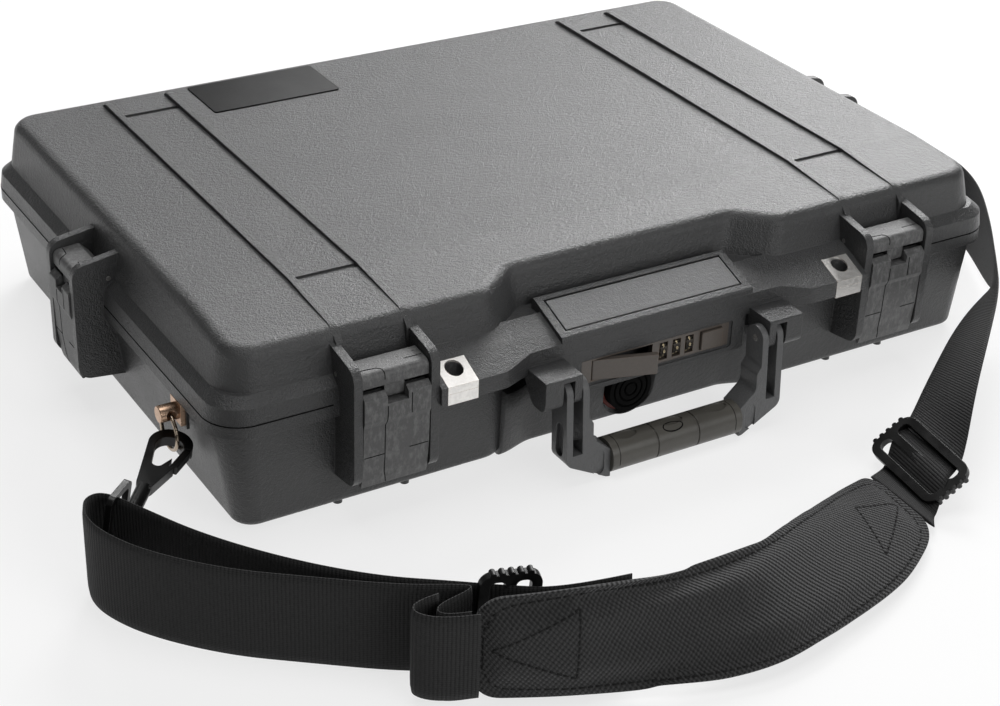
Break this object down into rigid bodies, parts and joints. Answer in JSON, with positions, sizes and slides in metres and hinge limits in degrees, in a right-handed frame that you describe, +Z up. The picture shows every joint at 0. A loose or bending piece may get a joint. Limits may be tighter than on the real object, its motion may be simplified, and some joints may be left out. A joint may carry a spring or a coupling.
{
  "type": "laptop hard case",
  "caption": "Dark hard laptop case with a hinged lid, double-throw latches, folding handle, combination lock, purge valve and a clip-on padded shoulder strap.",
  "frame": {"origin": "middle of the case in plan, on the plane the case's ribs and the strap rest on", "axes": "+X to the right along the case's length, +Y from the front with the handle to the rear hinges, +Z up"},
  "size_m": [0.6547, 0.5676, 0.1109],
  "materials": {
    "case_plastic": "matte",
    "panel_plastic": "matte",
    "label_film": "satin",
    "latch_plastic": "satin",
    "handle_plastic": "satin",
    "grip_rubber": "matte",
    "seal_rubber": "matte",
    "pin_steel": "satin",
    "plate_steel": "polished",
    "lock_metal": "satin",
    "dial_brass": "satin",
    "stud_brass": "polished",
    "hook_plastic": "gloss",
    "valve_plastic": "satin",
    "webbing": "matte",
    "pad_cloth": "matte",
    "foam": "matte"
  },
  "bodies": {
    "base": {"base_shell": "case_plastic", "lock_plate": "lock_metal", "lock_lever_pin": "pin_steel", "dial_axle": "pin_steel", "valve_seal": "seal_rubber", "valve_body": "valve_plastic", "base_foam": "foam", "shoulder_pad": "pad_cloth", "padlock_plate_lower_left": "plate_steel", "padlock_plate_lower_right": "plate_steel", "hinge_pin_left": "pin_steel", "hinge_pin_right": "pin_steel", "handle_pin_left": "pin_steel", "handle_pin_right": "pin_steel", "strap_stud_left": "stud_brass", "strap_stud_right": "stud_brass", "strap_ring_left": "pin_steel", "strap_ring_right": "pin_steel", "snap_hook_left": "hook_plastic", "snap_hook_right": "hook_plastic", "strap_loop_left": "pin_steel", "strap_loop_right": "pin_steel", "webbing_left": "webbing", "webbing_right": "webbing", "slider_left": "hook_plastic", "slider_right": "hook_plastic"},
    "lid": {"lid_shell": "case_plastic", "lid_seal": "seal_rubber", "name_panel": "panel_plastic", "label_plate": "label_film", "lid_foam": "foam", "padlock_plate_upper_left": "plate_steel", "padlock_plate_upper_right": "plate_steel", "latch_pin_upper_front_left": "pin_steel", "latch_pin_upper_front_right": "pin_steel", "latch_pin_upper_side_left": "pin_steel", "latch_pin_upper_side_right": "pin_steel"},
    "latch_link_front_left": {"latch_link_front_left": "latch_plastic"},
    "latch_lever_front_left": {"latch_lever_front_left": "latch_plastic", "latch_pin_lower_front_left": "pin_steel"},
    "latch_link_front_right": {"latch_link_front_right": "latch_plastic"},
    "latch_lever_front_right": {"latch_lever_front_right": "latch_plastic", "latch_pin_lower_front_right": "pin_steel"},
    "latch_link_side_left": {"latch_link_side_left": "latch_plastic"},
    "latch_lever_side_left": {"latch_lever_side_left": "latch_plastic", "latch_pin_lower_side_left": "pin_steel"},
    "latch_link_side_right": {"latch_link_side_right": "latch_plastic"},
    "latch_lever_side_right": {"latch_lever_side_right": "latch_plastic", "latch_pin_lower_side_right": "pin_steel"},
    "handle": {"handle_frame": "handle_plastic", "handle_grip": "grip_rubber"},
    "lock_lever": {"lock_lever": "lock_metal"},
    "lock_dial_1": {"lock_dial_1": "dial_brass"},
    "lock_dial_2": {"lock_dial_2": "dial_brass"},
    "lock_dial_3": {"lock_dial_3": "dial_brass"},
    "lock_button": {"lock_button": "lock_metal"},
    "snap_gate_left": {"snap_gate_left": "hook_plastic"},
    "snap_gate_right": {"snap_gate_right": "hook_plastic"}
  },
  "joints": [
    {"name": "lid_hinge", "type": "hinge", "parent": "base", "child": "lid", "pos_m": [0, 0.1745, 0.068], "axis": [-1, 0, 0], "range_deg": [0, 105]},
    {"name": "latch_link_front_left_pivot", "type": "hinge", "parent": "lid", "child": "latch_link_front_left", "pos_m": [-0.1633, -0.1645, 0.083], "axis": [-1, 0, 0], "range_deg": [0, 50]},
    {"name": "latch_lever_front_left_pivot", "type": "hinge", "parent": "latch_link_front_left", "child": "latch_lever_front_left", "pos_m": [-0.1633, -0.179, 0.0745], "axis": [-1, 0, 0], "range_deg": [0, 80]},
    {"name": "latch_link_front_right_pivot", "type": "hinge", "parent": "lid", "child": "latch_link_front_right", "pos_m": [0.1633, -0.1645, 0.083], "axis": [-1, 0, 0], "range_deg": [0, 50]},
    {"name": "latch_lever_front_right_pivot", "type": "hinge", "parent": "latch_link_front_right", "child": "latch_lever_front_right", "pos_m": [0.1633, -0.179, 0.0745], "axis": [-1, 0, 0], "range_deg": [0, 80]},
    {"name": "latch_link_side_left_pivot", "type": "hinge", "parent": "lid", "child": "latch_link_side_left", "pos_m": [-0.25, 0.0035, 0.083], "axis": [0, 1, 0], "range_deg": [0, 50]},
    {"name": "latch_lever_side_left_pivot", "type": "hinge", "parent": "latch_link_side_left", "child": "latch_lever_side_left", "pos_m": [-0.2645, 0.0035, 0.0745], "axis": [0, 1, 0], "range_deg": [0, 80]},
    {"name": "latch_link_side_right_pivot", "type": "hinge", "parent": "lid", "child": "latch_link_side_right", "pos_m": [0.25, 0.0035, 0.083], "axis": [0, -1, 0], "range_deg": [0, 50]},
    {"name": "latch_lever_side_right_pivot", "type": "hinge", "parent": "latch_link_side_right", "child": "latch_lever_side_right", "pos_m": [0.2645, 0.0035, 0.0745], "axis": [0, -1, 0], "range_deg": [0, 80]},
    {"name": "handle_hinge", "type": "hinge", "parent": "base", "child": "handle", "pos_m": [0, -0.193, 0.0545], "axis": [-1, 0, 0], "range_deg": [0, 90]},
    {"name": "lock_lever_hinge", "type": "hinge", "parent": "base", "child": "lock_lever", "pos_m": [-0.0399, -0.178, 0.053], "axis": [0, 0, 1], "range_deg": [-40, 16.5]},
    {"name": "lock_dial_1_turn", "type": "hinge", "parent": "base", "child": "lock_dial_1", "pos_m": [0.0048, -0.1748, 0.053], "axis": [1, 0, 0], "continuous": true},
    {"name": "lock_dial_2_turn", "type": "hinge", "parent": "base", "child": "lock_dial_2", "pos_m": [0.0135, -0.1748, 0.053], "axis": [1, 0, 0], "continuous": true},
    {"name": "lock_dial_3_turn", "type": "hinge", "parent": "base", "child": "lock_dial_3", "pos_m": [0.0221, -0.1748, 0.053], "axis": [1, 0, 0], "continuous": true},
    {"name": "lock_button_press", "type": "slide", "parent": "base", "child": "lock_button", "axis": [0, 1, 0], "range_m": [0, 0.0015], "stiffness_N_per_m": 400, "springref_m": -0.001},
    {"name": "snap_gate_left_hinge", "type": "hinge", "parent": "base", "child": "snap_gate_left", "pos_m": [-0.26417, -0.13314, 0.03192], "axis": [0.0633, -0.1975, 0.9782], "range_deg": [0, 15], "stiffness_Nm_per_rad": 0.01, "springref_deg": -17.19},
    {"name": "snap_gate_right_hinge", "type": "hinge", "parent": "base", "child": "snap_gate_right", "pos_m": [0.26417, -0.08786, 0.03192], "axis": [-0.0633, 0.1975, 0.9782], "range_deg": [0, 15], "stiffness_Nm_per_rad": 0.01, "springref_deg": -17.19}
  ]
}
